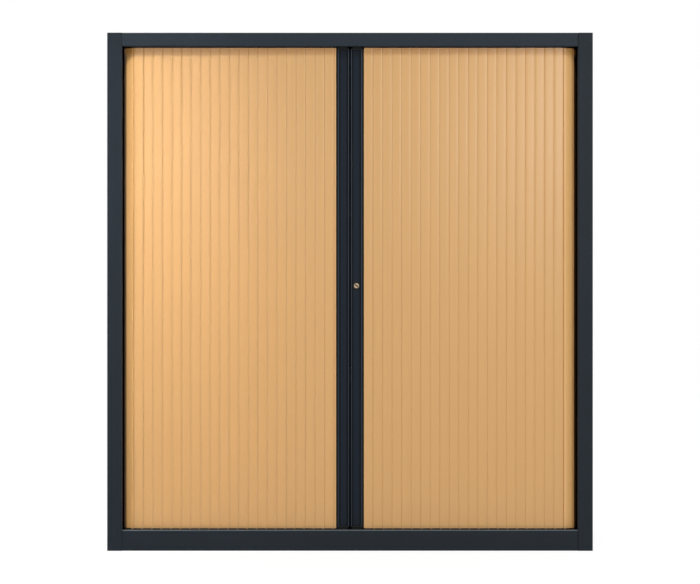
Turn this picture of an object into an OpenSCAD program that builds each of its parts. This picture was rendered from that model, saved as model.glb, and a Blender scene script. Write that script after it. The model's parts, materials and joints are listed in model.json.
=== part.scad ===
/* [Cabinet] */
// Overall width
cab_w = 1200; // [900:10:1400]
// Overall depth
cab_d = 430; // [400:5:500]
// Overall height
cab_h = 1280; // [1000:10:1950]
// Thickness of the steel sheet
sheet_t = 1; // [0.8:0.1:1.4]
// Radius of an ordinary fold, to the middle of the sheet
fold_r = 2; // [1.5:0.1:3]
// Radius of the plinth's rounded top edge, to the middle of the sheet
lip_r = 3; // [2:0.1:4]
// Width of each front stile
stile_w = 37; // [34:0.5:45]
// Height of the top rail on the front
rail_h = 34; // [30:0.5:45]
// Height of the plinth on the front
plinth_h = 52; // [48:0.5:70]
// Width of the side panels' returns on the back
rear_return_w = 30; // [20:1:40]
// Width of the joining flanges inside the carcass
flange_w = 14; // [10:0.5:20]
// Joint gap between sheet pieces that lie side by side
seam = 0.3; // [0.2:0.1:0.6]
// Lap of the top panel's wings on its middle part
wing_lap = 5; // [2:0.5:10]
// Gap from the stiles' returns to the slats
stile_gap = 2.5; // [2:0.25:4]
// Gap from the front rails' returns to the front tracks
return_gap = 5.5; // [2:0.25:7]

/* [Inside panels] */
// How far the floor lies below the plinth's top
floor_drop = 13; // [10:0.5:15]
// How far the ceiling lies above the top rail's lower edge
ceiling_rise = 14; // [12:0.5:18]
// Depth of the rails' hidden returns
rail_return = 25; // [18:1:35]
// How far each liner laps behind the inner back panel
liner_lap = 30; // [20:1:45]
// Straight lead at the front edge of each liner
nose_lead = 1; // [0.5:0.5:3]
// Gap from the liners to the side tracks
liner_gap = 0.8; // [0.5:0.1:2]
// Gap from the inner back panel's ends to the turns
inner_back_gap = 2; // [1:0.5:6]

/* [Curtains] */
// Distance from hinge line to hinge line of the slats
slat_pitch = 23.6; // [20:0.1:28]
// Thickness of a slat
slat_t = 6; // [5:0.25:7]
// Wall of the hollow slat
slat_wall = 1; // [0.8:0.1:1.4]
// Rounding of a slat's two front edges
slat_edge_r = 0.9; // [0.5:0.1:1.5]
// Open joint between neighbouring slats
slat_gap = 0.7; // [0.4:0.1:0.9]
// Height of a slat's end cap
slat_cap_h = 5; // [3:0.5:8]
// How far the slats' faces lie behind the cabinet's face
curtain_recess = 16; // [15:0.5:20]
// How far the stored side run is tucked behind the stile
side_tuck = 2.5; // [1:0.5:5]
// Gap from the stored rear run to the back panel
rear_recess = 11; // [9:0.5:16]
// Radius of the hinge line in the turns
turn_r = 30.5; // [30:0.5:36]
// Length of curtain that stays behind the turn when closed
tail_len = 50; // [30:5:80]
// Width of the cut strip that joins the left curtain to its bar
left_strip_w = 5.8; // [4:0.1:23]
// Width of the cut strip that joins the right curtain to its bar
right_strip_w = 22.8; // [4:0.1:23]

/* [Tracks] */
// Height of a track
track_h = 13; // [11:0.5:16]
// Side wall of a track
track_wall = 2; // [1.5:0.1:2.5]
// Base of a track
track_base = 2; // [1.5:0.1:3]
// Width of the slot in a track
slot_w = 6.4; // [6.2:0.1:7]
// Gap from a track's edge to the slats
end_gap = 2; // [1.5:0.25:4]
// Gap from a track's edge to the bars' end caps
bar_end_gap = 4.5; // [2:0.25:7]
// Diameter of the guide pin on a slat's end cap
pin_d = 3.5; // [3:0.1:3.6]
// Distance of the guide pin from the slat's hinge line
pin_inset = 3; // [2.5:0.1:3.4]
// Lift of the pins and glides off the track's base
run_lift = 0.3; // [0.2:0.1:0.6]
// Free height over the pins and glides in the upper track
top_play = 1.5; // [1:0.25:3]
// Length of a bar's glide
glide_len = 24; // [18:1:28]
// Side play of a glide in its slot
glide_play = 0.4; // [0.3:0.05:0.6]
// Height of the centre stops
stop_h = 8; // [5:0.5:10]
// Gap from an open bar to the liner's front edge
stop_gap = 3; // [2:0.5:6]
// Spare length of the rear tracks
rear_run_spare = 10; // [5:1:30]

/* [Leading bars] */
// Width of a leading bar
bar_w = 32; // [30:0.5:36]
// Depth of a leading bar
bar_d = 28; // [28:0.5:34]
// Gap between the closed bars
bar_gap = 4; // [3:0.5:5]
// How far the bars' rims stand proud of the slats
bar_proud = 1.5; // [1:0.25:2.5]
// Wall of the bars
bar_wall = 1.6; // [1.4:0.1:2]
// Width of the rims beside the grip
rim_w = 3; // [2.5:0.25:3.5]
// Width of the flange next to the curtain
bar_flange_w = 4; // [3.5:0.25:5]
// How far the flange's edge falls behind the slats' faces
flange_fall = 0.7; // [0.3:0.1:1]
// Depth of the grip recess
grip_d = 8; // [6:0.25:9]
// Slope of the grip recess's walls
grip_slope = 0.5; // [0.2:0.1:0.6]
// Depth of the groove that holds the joining strip
groove_d = 4.5; // [3.5:0.25:5]
// Thickness of the strip's tongue in the groove
tongue_t = 2.4; // [2:0.1:3]
// Play of the tongue in the groove, and of plugs in hollow sections
plug_play = 0.2; // [0.1:0.05:0.3]
// Thickness of a bar's end cap
bar_cap_t = 3.5; // [2.5:0.25:5]
// Length of the plugs on the end caps
plug_len = 10; // [6:0.5:16]

/* [Lock] */
// Height of the lock above the floor
lock_z = 655; // [500:5:750]
// Diameter of the turning plug
lock_plug_d = 13; // [12:0.5:16]
// Diameter of the lock's housing
housing_d = 18; // [17:0.25:18.25]
// Diameter of the ring around the plug
ring_d = 20; // [19:0.25:20.25]
// Thickness of the ring
ring_t = 1.5; // [1:0.1:2]
// How far the plug stands proud of the ring
plug_proud = 0.6; // [0.3:0.1:1]
// Length of the housing behind the grip's floor
housing_len = 10.6; // [9.5:0.1:11]
// Running clearance of the plug, on the radius
lock_play = 0.03; // [0.02:0.01:0.08]
// Keyway width
keyway_w = 3; // [2:0.1:3.5]
// Keyway length
keyway_l = 8; // [6:0.25:9]
// Keyway depth
keyway_d = 6; // [4:0.5:8]
// Tilt of the keyway
keyway_tilt = 35; // [0:5:90]
// Diameter of the plug's tail
tail_d = 7; // [6:0.5:8]
// Thickness of the cam
cam_t = 2.5; // [2:0.1:2.8]
// Width of the cam's arm
cam_w = 8; // [7:0.5:9]
// Radial thickness of the cam's hook
hook_t = 4; // [3:0.25:4.5]
// Angle that the hook reaches past the arm's middle
hook_angle = 22; // [20:1:23]
// Play of the cam in its slots
cam_play = 0.8; // [0.5:0.1:1]
// End play of the plug and of the cam behind the housing
cam_seat = 0.2; // [0.1:0.05:0.3]
// Wall of the cam's hub around the tail
hub_wall = 4; // [3:0.25:5]
// Gap between the turned hook and the keeper
hook_clear = 0.4; // [0.3:0.05:0.6]
// Radial gap of the nuts and the cam on their threads
nut_play = 0.05; // [0.02:0.01:0.08]
// Thickness of the keeper plate
keeper_t = 1.5; // [1:0.1:2]
// Reach of the keeper plate below the lock's axis
keeper_low = 20; // [16:1:30]
// Reach of the keeper plate above the lock's axis
keeper_high = 40; // [32:1:50]
// Width across flats of the cam nut
nut_af = 11; // [10:0.5:13]
// Thickness of the cam nut
nut_t = 2.8; // [2:0.1:3]
// Diameter of the ring nut behind the grip's floor
ring_nut_d = 21.5; // [20:0.25:22]
// Thickness of the ring nut
ring_nut_t = 2.5; // [2:0.25:4]

/* [Shelves] */
// Distance from the turns to the middle of the shelf uprights
upright_inset = 45; // [35:1:70]
// Width of an upright
upright_w = 26; // [22:1:32]
// Depth of an upright
upright_d = 9; // [8:0.5:12]
// Sheet thickness of an upright
upright_t = 1.2; // [1:0.1:1.5]
// Height of the first slot above the floor
slot_first = 100; // [60:2:140]
// Distance between slots
slot_pitch = 32; // [25:1:40]
// Bare length at the top of an upright
slot_bare = 60; // [40:5:100]
// Width of a slot
slot_wide = 5; // [4.5:0.25:6]
// Height of a slot
slot_tall = 10; // [9:0.5:12]
// Slot that carries the lower shelf, counted from the lowest
lower_slot = 9; // [4:1:11]
// Slot that carries the upper shelf, counted from the lowest
upper_slot = 22; // [14:1:24]
// Height of a shelf's lips
shelf_lip = 25; // [20:1:32]
// Width of the hem under a shelf's lips
shelf_hem = 12; // [8:1:18]
// Distance from the bars to the shelves
shelf_setback = 10; // [6:1:30]
// Play around a shelf
shelf_play = 1; // [0.5:0.25:2]
// Length of a clip's ledge
ledge_len = 14; // [10:1:18]
// Width of a clip's ledge
ledge_w = 16; // [12:1:20]
// Thickness of a clip's tongue
clip_t = 3; // [2:0.25:3.5]
// Drop of a clip's hook behind the upright's face
hook_drop = 5; // [3:0.5:5.5]
// Height of the gusset under a clip's ledge
gusset_h = 16; // [15:1:18]
// Width of a gusset's foot
gusset_w = 2; // [1:0.25:4]
// Depth of a clip's tongue below its ledge
clip_under = 6; // [5.5:0.25:7]
// Play of a clip in its slot
clip_seat = 0.2; // [0.1:0.05:0.3]

/* [Feet] */
// Distance of the feet from the cabinet's sides
foot_side = 120; // [100:5:200]
// Distance of the feet from the cabinet's front and back
foot_end = 80; // [75:5:110]
// Diameter of a foot's stud
stud_d = 10; // [8:0.5:12]
// Gap from a stud's upper end to the plug over it
stud_gap = 1; // [0.5:0.25:4]
// Diameter of a foot's pad
pad_d = 32; // [26:1:40]
// Height of a foot's pad
pad_h = 8; // [6:0.5:10]
// Depth of the socket in a pad
socket_d = 5; // [3:0.5:5.5]
// Gap under the pads when the feet are wound in
pad_lift = 1; // [0.5:0.25:2]
// Running clearance of a stud in its nut, on the radius
stud_play = 0.05; // [0.03:0.01:0.08]
// Height of the bracket's web above the ground
bracket_z = 18; // [16:0.5:22]
// Width of the bracket's web
bracket_w = 44; // [38:1:60]
// Depth of the bracket
bracket_d = 40; // [30:1:60]
// Width across flats of the weld nut
weld_nut_af = 17; // [16:0.5:22]
// Thickness of the weld nut
weld_nut_t = 8; // [6:0.5:10]
// Diameter of the access hole in the floor
access_d = 14; // [12:0.5:18]
// Diameter of the plug over the access hole
cap_d = 20; // [19:0.5:26]
// Thickness of the plug's head
cap_t = 1.5; // [1:0.25:2]
// Length of the plug's spigot
spigot_len = 2.5; // [2:0.25:3]
// Radial gap of the plug in its hole
cap_play = 0.2; // [0.1:0.05:0.3]
// Width of the bracket's feet
bracket_foot_w = 15; // [12:1:20]
// Width of the screwdriver slot in a stud
kerf_w = 1.6; // [1:0.1:2]
// Depth of the screwdriver slot in a stud
kerf_d = 2; // [1.5:0.25:3]

/* [Rivets] */
// Diameter of a rivet's shank
rivet_d = 3.2; // [2.4:0.2:4]
// Diameter of a rivet's head
rivet_head_d = 7; // [6:0.25:8]
// Height of a rivet's head
rivet_head_h = 0.7; // [0.5:0.05:0.75]
// Diameter of a rivet's tail
rivet_tail_d = 4.7; // [4.5:0.1:5.5]
// Length of a rivet's tail
rivet_tail_l = 1.6; // [1:0.1:2.5]
// Play of a rivet in its hole, on the radius
rivet_play = 0.1; // [0.05:0.05:0.2]
// Rivets in a row
rivet_count = 6; // [4:1:10]
// Distance of the rows from the edges of the flanges they hold
rivet_inset = 9; // [6:0.5:12]

/* [Hidden] */
$fn = 48;

// How far a cut runs past the face that it opens
overcut = 1;

// Colours
anthracite = "#373d43";
beech = "#d9ad78";
black_plastic = "#1c1c1e";
nickel = "#cfc4b2";
zinc = "#b4b7ba";

// The carcass: its planes
half_w = cab_w / 2;
front_y = -cab_d / 2;
back_y = cab_d / 2;
back_in = back_y - 2 * sheet_t;
floor_z = plinth_h - floor_drop;
under_floor = floor_z - 1.5 * sheet_t;
ceiling_z = cab_h - rail_h + ceiling_rise;
inside_x = half_w - sheet_t - seam;
between_stiles_x = half_w - stile_w - seam;
between_flanges_x = inside_x - flange_w;

// The curtains' hinge line: front run, turn, side run, turn, rear run
hinge_y = front_y + curtain_recess + slat_t;
side_x = half_w - stile_w + side_tuck - slat_t;
turn_x = side_x - turn_r;
turn_front_y = hinge_y + turn_r;
rear_hinge_y = back_in - rear_recess - slat_t;
turn_rear_y = rear_hinge_y - turn_r;
quarter_turn = turn_r * PI / 2;

// The slats' ends and the tracks' slot
slat_bottom = floor_z + track_h + end_gap;
slat_top = ceiling_z - track_h - end_gap;
slot_y = hinge_y - slat_t / 2;
slot_r = turn_r + slat_t / 2;
track_w = slot_w + 2 * track_wall;
track_front_y = slot_y - track_w / 2;
stile_return = curtain_recess - stile_gap;
front_return = track_front_y - front_y - return_gap;

// The leading bars
bar_in = bar_gap / 2;
bar_out = bar_in + bar_w;
bar_front_y = front_y + curtain_recess - bar_proud;
grip_w = bar_w - 2 * rim_w - bar_flange_w;
bar_cap_bottom = floor_z + track_h + bar_end_gap;
bar_cap_top = ceiling_z - track_h - bar_end_gap;
bar_bottom = bar_cap_bottom + bar_cap_t;
bar_top = bar_cap_top - bar_cap_t;
chamber_x = bar_w - groove_d - bar_wall;
chamber_y = grip_d + bar_wall;
door_travel = turn_x - nose_lead - bar_out - stop_gap;

// The stored length of an open curtain sets the length of the rear track
curtain_end = turn_x + quarter_turn + tail_len + slat_pitch;
side_run = turn_rear_y - turn_front_y;
rear_run = curtain_end + door_travel - turn_x - 2 * quarter_turn - side_run + rear_run_spare;

// The liners run inside the side tracks
liner_r = slot_r - track_w / 2 - liner_gap - sheet_t / 2;
liner_in = turn_x + liner_r - sheet_t / 2;
inner_back_y = turn_rear_y + liner_r - 1.5 * sheet_t;

// The shelves and their clips
upright_face = liner_in - upright_d;
clip_x = upright_face + upright_t;
slot_count = floor((ceiling_z - floor_z - slot_first - slot_bare) / slot_pitch) + 1;
ledge_over_slot = clip_seat + clip_t + clip_under;
shelf_front_y = bar_front_y + bar_d + shelf_setback;
shelf_end_x = upright_face - shelf_play;
shelf_turn_r = liner_r - sheet_t / 2 - shelf_play;
shelf_back_y = turn_rear_y + sqrt(pow(shelf_turn_r, 2) - pow(shelf_end_x - turn_x, 2));
upright_ys = [turn_front_y + upright_inset, turn_rear_y - upright_inset];

// The lock, from its axis
lock_x = bar_in + rim_w + grip_w / 2;
grip_floor_y = bar_front_y + grip_d;
housing_end_y = grip_floor_y + housing_len;
cam_y = housing_end_y + 2 * cam_seat;
keeper_x = bar_in + bar_wall + keeper_t;
hook_in_r = (lock_x + keeper_x + hook_clear) / cos(hook_angle);
hook_out_r = hook_in_r + hook_t;

// The feet
foot_x = half_w - foot_side;
foot_y = cab_d / 2 - foot_end;
stud_bottom = pad_lift + pad_h - socket_d;
stud_top = floor_z - spigot_len - stud_gap;

// Plane geometry

function unit(v) = v / norm(v);
function left_of(v) = [-v[1], v[0]];
function turned(v, a) = [v[0] * cos(a) - v[1] * sin(a), v[0] * sin(a) + v[1] * cos(a)];
function polar(r, a) = [r * cos(a), r * sin(a)];
function arc(c, r, a0, a1, steps) = [for (i = [0:steps]) c + polar(r, a0 + (a1 - a0) * i / steps)];

// One bend of a sheet: points on its middle line, each with the sheet's normal
function bend(before, corner, after, r, steps) =
  let (
    u = unit(corner - before),
    v = unit(after - corner),
    turn = atan2(u[0] * v[1] - u[1] * v[0], u * v),
    n = left_of(u),
    centre = corner - u * r * tan(abs(turn) / 2) + n * sign(turn) * r
  )
  [for (i = [0:steps]) let (m = turned(n, turn * i / steps)) [centre - m * sign(turn) * r, m]];

// Outline of a sheet folded along a path; rs gives each bend's radius
function folded(path, rs, t, steps = 4) =
  let (
    last = len(path) - 1,
    line = concat(
      [[path[0], left_of(unit(path[1] - path[0]))]],
      [for (i = [1:last - 1]) each bend(path[i - 1], path[i], path[i + 1], rs[i - 1], steps)],
      [[path[last], left_of(unit(path[last] - path[last - 1]))]]
    )
  )
  concat(
    [for (e = line) e[0] + e[1] * t / 2],
    [for (i = [len(line) - 1:-1:0]) line[i][0] - line[i][1] * t / 2]
  );

// The right curtain's hinge line, by length from the cabinet's middle
function hinge_at(s) =
  let (a = (s - turn_x) / turn_r * 180 / PI)
  a < 0 ? [s, hinge_y]
  : a < 90 ? [turn_x, turn_front_y] + turn_r * [sin(a), -cos(a)]
  : [side_x, turn_front_y + s - turn_x - quarter_turn];

// The next hinge lies one slat further, measured straight
function next_hinge(s, lo, hi, tries = 30) =
  let (mid = (lo + hi) / 2)
  tries == 0 ? mid
  : norm(hinge_at(mid) - hinge_at(s)) < slat_pitch ? next_hinge(s, mid, hi, tries - 1)
  : next_hinge(s, lo, mid, tries - 1);

function hinges(s) =
  s > curtain_end - slat_pitch ? [s]
  : concat([s], hinges(next_hinge(s, s + 0.9 * slat_pitch, s + 1.3 * slat_pitch)));

// Outline of a slat, its back on the X axis, with rounded front edges
function slat_outline(w, r) = concat(
  [[w, 0], [0, 0]],
  arc([r, r - slat_t], r, 180, 270, 3),
  arc([w - r, r - slat_t], r, 270, 360, 3)
);

// Small shared modules

module mirrored(side) {
  if (side == "left") mirror([1, 0, 0]) children();
  else children();
}

module block(lo, hi) {
  translate(lo) cube(hi - lo);
}

// An outline in X and Y, drawn from z0 up to z1
module upright_prism(outline, z0, z1) {
  translate([0, 0, z0]) linear_extrude(z1 - z0) polygon(outline);
}

// An outline in Y and Z, drawn from -x to x
module cross_prism(outline, x) {
  translate([-x, 0, 0]) rotate([90, 0, 90]) linear_extrude(2 * x) polygon(outline);
}

// An outline in X and Z, drawn from y0 back to y1
module depth_prism(outline, y0, y1) {
  translate([0, y1, 0]) rotate([90, 0, 0]) linear_extrude(y1 - y0) polygon(outline);
}

// A round bar along Y
module depth_cylinder(d, y0, y1) {
  translate([0, y0, 0]) rotate([-90, 0, 0]) cylinder(d = d, h = y1 - y0);
}

// Carcass

module side_panel(side) {
  t = sheet_t;
  stile_x = half_w - stile_w + t / 2;
  outline = folded(
    [
      [stile_x, front_y + stile_return], [stile_x, front_y + t / 2], [half_w - t / 2, front_y + t / 2],
      [half_w - t / 2, back_y - t / 2], [half_w - rear_return_w, back_y - t / 2]
    ],
    [fold_r, fold_r, fold_r], t
  );
  color(anthracite) mirrored(side) {
    upright_prism(outline, 0, cab_h);
    for (z = [0, cab_h - 2 * t])
      block(
        [half_w - t - flange_w, front_y + stile_return, z],
        [half_w - t / 2, back_in - seam, z + t]
      );
  }
}

module left_side_panel() {
  side_panel("left");
}

module right_side_panel() {
  side_panel("right");
}

module top_panel() {
  t = sheet_t;
  rail_z = cab_h - rail_h + t / 2;
  outline = folded(
    [
      [front_y + front_return, rail_z], [front_y + t / 2, rail_z], [front_y + t / 2, cab_h - t / 2],
      [back_in - t / 2, cab_h - t / 2], [back_in - t / 2, cab_h - rail_return]
    ],
    [fold_r, fold_r, fold_r], t
  );
  joint_x = between_stiles_x - wing_lap;
  stile_x = half_w - stile_w + t + seam;
  stile_back = front_y + stile_return + seam;
  front = front_y + t + seam;
  wing = [
    [joint_x, stile_back], [stile_x, stile_back], [stile_x, front + fold_r], [stile_x + fold_r, front],
    [inside_x - fold_r, front], [inside_x, front + fold_r], [inside_x, back_in], [joint_x, back_in]
  ];
  color(anthracite) difference() {
    union() {
      cross_prism(outline, between_stiles_x);
      for (side = ["left", "right"]) mirrored(side) upright_prism(wing, cab_h - t, cab_h);
    }
    rivet_holes();
  }
}

module ceiling_panel() {
  t = sheet_t;
  under_roof = cab_h - t;
  front = track_front_y + t / 2;
  rear = rear_hinge_y + slat_t / 2 + track_w / 2 - t / 2;
  outline = folded(
    [
      [front, under_roof], [front, ceiling_z + t / 2], [rear, ceiling_z + t / 2], [rear, under_roof]
    ],
    [fold_r, fold_r], t
  );
  color(anthracite) cross_prism(outline, between_flanges_x);
}

module back_panel() {
  x = inside_x - fold_r;
  color(anthracite) difference() {
    block([-x, back_in, sheet_t + seam], [x, back_in + sheet_t, cab_h - 2 * sheet_t - seam]);
    rivet_holes();
  }
}

module plinth_rail() {
  t = sheet_t;
  drop_y = front_y + front_return - t / 2;
  outline = folded(
    [
      [front_y + rail_return, t / 2], [front_y + t / 2, t / 2], [front_y + t / 2, plinth_h - t / 2],
      [drop_y, plinth_h - t / 2], [drop_y, under_floor], [drop_y + flange_w, under_floor]
    ],
    [fold_r, lip_r, fold_r, fold_r], t
  );
  color(anthracite) cross_prism(outline, between_stiles_x);
}

module floor_panel() {
  front = front_y + stile_return + seam;
  color(anthracite) difference() {
    block([-inside_x, front, floor_z - sheet_t], [inside_x, back_in - seam, floor_z]);
    for (x = [-foot_x, foot_x], y = [-foot_y, foot_y])
      translate([x, y, floor_z - 2 * sheet_t]) cylinder(d = access_d, h = 3 * sheet_t);
  }
}

module rear_base_rail() {
  t = sheet_t;
  outline = folded(
    [
      [back_in - rail_return, t / 2], [back_in - t / 2, t / 2], [back_in - t / 2, under_floor],
      [back_in - rail_return, under_floor]
    ],
    [fold_r, fold_r], t
  );
  color(anthracite) difference() {
    cross_prism(outline, between_flanges_x);
    rivet_holes();
  }
}

// Rows of rivets hold the back panel to the top panel's flange and to the rear base rail
rivet_rows = [floor_z - rivet_inset - 2 * sheet_t - fold_r, cab_h - rail_return + rivet_inset];
rivet_span = between_stiles_x - rail_return;

module at_rivets() {
  for (z = rivet_rows, i = [0:rivet_count - 1])
    translate([rivet_span * (2 * i / (rivet_count - 1) - 1), 0, z]) children();
}

module rivet_holes() {
  at_rivets() depth_cylinder(rivet_d + 2 * rivet_play, back_in - 2 * sheet_t, back_y);
}

module back_rivets() {
  outer = back_in + sheet_t;
  inner = back_in - sheet_t;
  color(zinc) at_rivets() {
    depth_cylinder(rivet_d, inner, outer);
    depth_cylinder(rivet_head_d, outer, outer + rivet_head_h);
    depth_cylinder(rivet_tail_d, inner - rivet_tail_l, inner);
  }
}

module liner(side) {
  front = turn_front_y - liner_r;
  rear = turn_rear_y + liner_r;
  outline = folded(
    [
      [turn_x - nose_lead, front], [turn_x + liner_r, front], [turn_x + liner_r, rear],
      [turn_x - liner_lap, rear]
    ],
    [liner_r, liner_r], sheet_t, 8
  );
  color(anthracite) mirrored(side) upright_prism(outline, floor_z, ceiling_z);
}

module left_liner() {
  liner("left");
}

module right_liner() {
  liner("right");
}

module inner_back() {
  x = turn_x - inner_back_gap;
  color(anthracite) block([-x, inner_back_y, floor_z], [x, inner_back_y + sheet_t, ceiling_z]);
}

// Tracks

// A track's base and walls, from its plan outline and its slot's outline; the slot opens upwards
module track(plan, slot) {
  difference() {
    linear_extrude(track_h) polygon(plan);
    translate([0, 0, track_base]) linear_extrude(track_h) polygon(slot);
  }
}

module on_floor() {
  translate([0, 0, floor_z]) children();
}

module under_ceiling() {
  translate([0, 0, ceiling_z]) mirror([0, 0, 1]) children();
}

function strip_plan(x0, x1, y, w) = [[x0, y - w / 2], [x1, y - w / 2], [x1, y + w / 2], [x0, y + w / 2]];

function turn_plan(y, a0, w) = concat(
  arc([turn_x, y], slot_r + w / 2, a0, a0 + 90, 9),
  arc([turn_x, y], slot_r - w / 2, a0 + 90, a0, 9)
);

function side_plan(w) =
  let (x = turn_x + slot_r)
  [[x - w / 2, turn_front_y], [x + w / 2, turn_front_y], [x + w / 2, turn_rear_y], [x - w / 2, turn_rear_y]];

module front_track() {
  color(black_plastic) track(
    strip_plan(-turn_x, turn_x, slot_y, track_w),
    strip_plan(-turn_x, turn_x, slot_y, slot_w)
  );
}

// Turn, side run, turn and rear run, butted end to end
module side_track() {
  rear_y = turn_rear_y + slot_r;
  color(black_plastic) {
    track(turn_plan(turn_front_y, -90, track_w), turn_plan(turn_front_y, -90, slot_w));
    track(side_plan(track_w), side_plan(slot_w));
    track(turn_plan(turn_rear_y, 0, track_w), turn_plan(turn_rear_y, 0, slot_w));
    track(
      strip_plan(turn_x - rear_run, turn_x, rear_y, track_w),
      strip_plan(turn_x - rear_run, turn_x, rear_y, slot_w)
    );
  }
}

module lower_front_track() {
  on_floor() front_track();
}

module upper_front_track() {
  under_ceiling() front_track();
}

module left_lower_track() {
  on_floor() mirrored("left") side_track();
}

module left_upper_track() {
  under_ceiling() mirrored("left") side_track();
}

module right_lower_track() {
  on_floor() side_track();
}

module right_upper_track() {
  under_ceiling() side_track();
}

// A stop in the middle of each front track, just clear of the closed glides
module centre_stop() {
  x = bar_in + (bar_w - glide_len) / 2 - run_lift;
  y = slot_w / 2 - plug_play;
  block([-x, slot_y - y, track_base], [x, slot_y + y, track_base + stop_h]);
}

module centre_stops() {
  color(black_plastic) {
    on_floor() centre_stop();
    under_ceiling() centre_stop();
  }
}

// Shelves

function slot_z(i) = floor_z + slot_first + i * slot_pitch;
function shelf_z(i) = slot_z(i) + ledge_over_slot + sheet_t;

module shelf_upright(y) {
  t = upright_t;
  side = upright_w / 2 - t / 2;
  face = upright_face + t / 2;
  outline = folded(
    [[liner_in, y - side], [face, y - side], [face, y + side], [liner_in, y + side]],
    [fold_r, fold_r], t
  );
  difference() {
    upright_prism(outline, floor_z, ceiling_z);
    for (i = [0:slot_count - 1])
      block(
        [upright_face - t, y - slot_wide / 2, slot_z(i)],
        [upright_face + 2 * t, y + slot_wide / 2, slot_z(i) + slot_tall]
      );
  }
}

module shelf_uprights() {
  color(anthracite)
    for (side = ["left", "right"], y = upright_ys) mirrored(side) shelf_upright(y);
}

module shelf(z) {
  t = sheet_t;
  lip_z = z - shelf_lip + t / 2;
  front = shelf_front_y + t / 2;
  rear = shelf_back_y - t / 2;
  outline = folded(
    [
      [front + shelf_hem, lip_z], [front, lip_z], [front, z - t / 2], [rear, z - t / 2], [rear, lip_z],
      [rear - shelf_hem, lip_z]
    ],
    [fold_r, fold_r, fold_r, fold_r], t
  );
  color(anthracite) cross_prism(outline, shelf_end_x);
}

module lower_shelf() {
  shelf(shelf_z(lower_slot));
}

module upper_shelf() {
  shelf(shelf_z(upper_slot));
}

// A clip's ledge carries the shelf, and its hook hangs in a slot
module shelf_clip(y, z) {
  bottom = z - clip_under - clip_t;
  ledge = [
    [upright_face - ledge_len, z], [upright_face, z], [upright_face, z - gusset_h],
    [upright_face - gusset_w, z - gusset_h], [upright_face - ledge_len, z - clip_t]
  ];
  back = clip_x + clip_seat;
  hook = [
    [upright_face - gusset_w, z - clip_under], [back + clip_t / 2, z - clip_under],
    [back + clip_t / 2, bottom - hook_drop], [back, bottom - hook_drop], [back, bottom],
    [upright_face - gusset_w, bottom]
  ];
  hook_w = slot_wide - 2 * clip_seat;
  depth_prism(ledge, y - ledge_w / 2, y + ledge_w / 2);
  depth_prism(hook, y - hook_w / 2, y + hook_w / 2);
}

module shelf_clips() {
  color(zinc)
    for (side = ["left", "right"], y = upright_ys, i = [lower_slot, upper_slot])
      mirrored(side) shelf_clip(y, slot_z(i) + ledge_over_slot);
}

// Leading bars

// From the bar's inner front corner: across the rims and the grip, down the flange to the strip's groove
function bar_outline() =
  let (
    grip_end = rim_w + grip_w,
    tongue_y = bar_proud + slat_t / 2,
    groove = tongue_t / 2 + plug_play
  )
  [
    [0, bar_d], [0, 0], [rim_w, 0], [rim_w + grip_slope, grip_d], [grip_end - grip_slope, grip_d],
    [grip_end, 0], [grip_end + rim_w, 0], [bar_w, bar_proud + flange_fall],
    [bar_w, tongue_y - groove], [bar_w - groove_d, tongue_y - groove],
    [bar_w - groove_d, tongue_y + groove], [bar_w, tongue_y + groove], [bar_w, bar_proud + slat_t],
    [chamber_x + bar_wall, bar_proud + slat_t], [chamber_x + bar_wall, bar_d]
  ];

function chamber_outline(play) = [
  [bar_wall + play, chamber_y + play], [chamber_x - play, chamber_y + play],
  [chamber_x - play, bar_d - bar_wall - play], [bar_wall + play, bar_d - bar_wall - play]
];

module at_bar() {
  translate([bar_in, bar_front_y, 0]) children();
}

module bar_section() {
  at_bar() translate([0, 0, bar_bottom]) linear_extrude(bar_top - bar_bottom) difference() {
    polygon(bar_outline());
    polygon(chamber_outline(0));
  }
}

// Height above the lock's axis at which the turning hook passes the upright plane at x
function hook_pass(x) = sqrt(hook_out_r * hook_out_r - (lock_x - x) * (lock_x - x));

// The slot that lets the cam's hook through a wall between two planes; reach is the hook's highest passage
module cam_slot(x0, x1, reach) {
  block(
    [x0, cam_y - cam_play, lock_z - cam_w / 2 - cam_play],
    [x1, cam_y + cam_t + cam_play, lock_z + reach + cam_play]
  );
}

module left_bar() {
  color(anthracite) difference() {
    mirrored("left") bar_section();
    cam_slot(-bar_in - bar_wall - plug_play, 0, hook_pass(-bar_in));
  }
}

module right_bar() {
  color(anthracite) difference() {
    bar_section();
    cam_slot(0, bar_in + bar_wall + plug_play, hook_pass(bar_in + bar_wall));
    at_lock() depth_cylinder(
      housing_d + 2 * plug_play, grip_floor_y - overcut, grip_floor_y + bar_wall + overcut
    );
  }
}

// An end cap closes a bar and its grip; its plug sits in the hollow
module bar_cap() {
  back = chamber_x + bar_wall;
  plate = [
    [0, 0], [rim_w * 2 + grip_w, 0], [bar_w, bar_proud + flange_fall], [bar_w, bar_proud + slat_t],
    [back, bar_proud + slat_t], [back, bar_d], [0, bar_d]
  ];
  linear_extrude(bar_cap_t) polygon(plate);
  translate([0, 0, bar_cap_t]) linear_extrude(plug_len) polygon(chamber_outline(plug_play));
}

module bar_caps(side) {
  color(black_plastic) mirrored(side) at_bar() {
    translate([0, 0, bar_cap_bottom]) bar_cap();
    translate([0, 0, bar_cap_top]) mirror([0, 0, 1]) bar_cap();
  }
}

module left_bar_caps() {
  bar_caps("left");
}

module right_bar_caps() {
  bar_caps("right");
}

// Glides under and over a bar run in the tracks' slots
module glides(side) {
  x = bar_in + bar_w / 2;
  y = slot_w / 2 - glide_play;
  color(black_plastic) mirrored(side)
    for (z = [
      [floor_z + track_base + run_lift, bar_cap_bottom],
      [bar_cap_top, ceiling_z - track_base - top_play]
    ])
      block([x - glide_len / 2, slot_y - y, z[0]], [x + glide_len / 2, slot_y + y, z[1]]);
}

module left_glides() {
  glides("left");
}

module right_glides() {
  glides("right");
}

// Curtains

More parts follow.
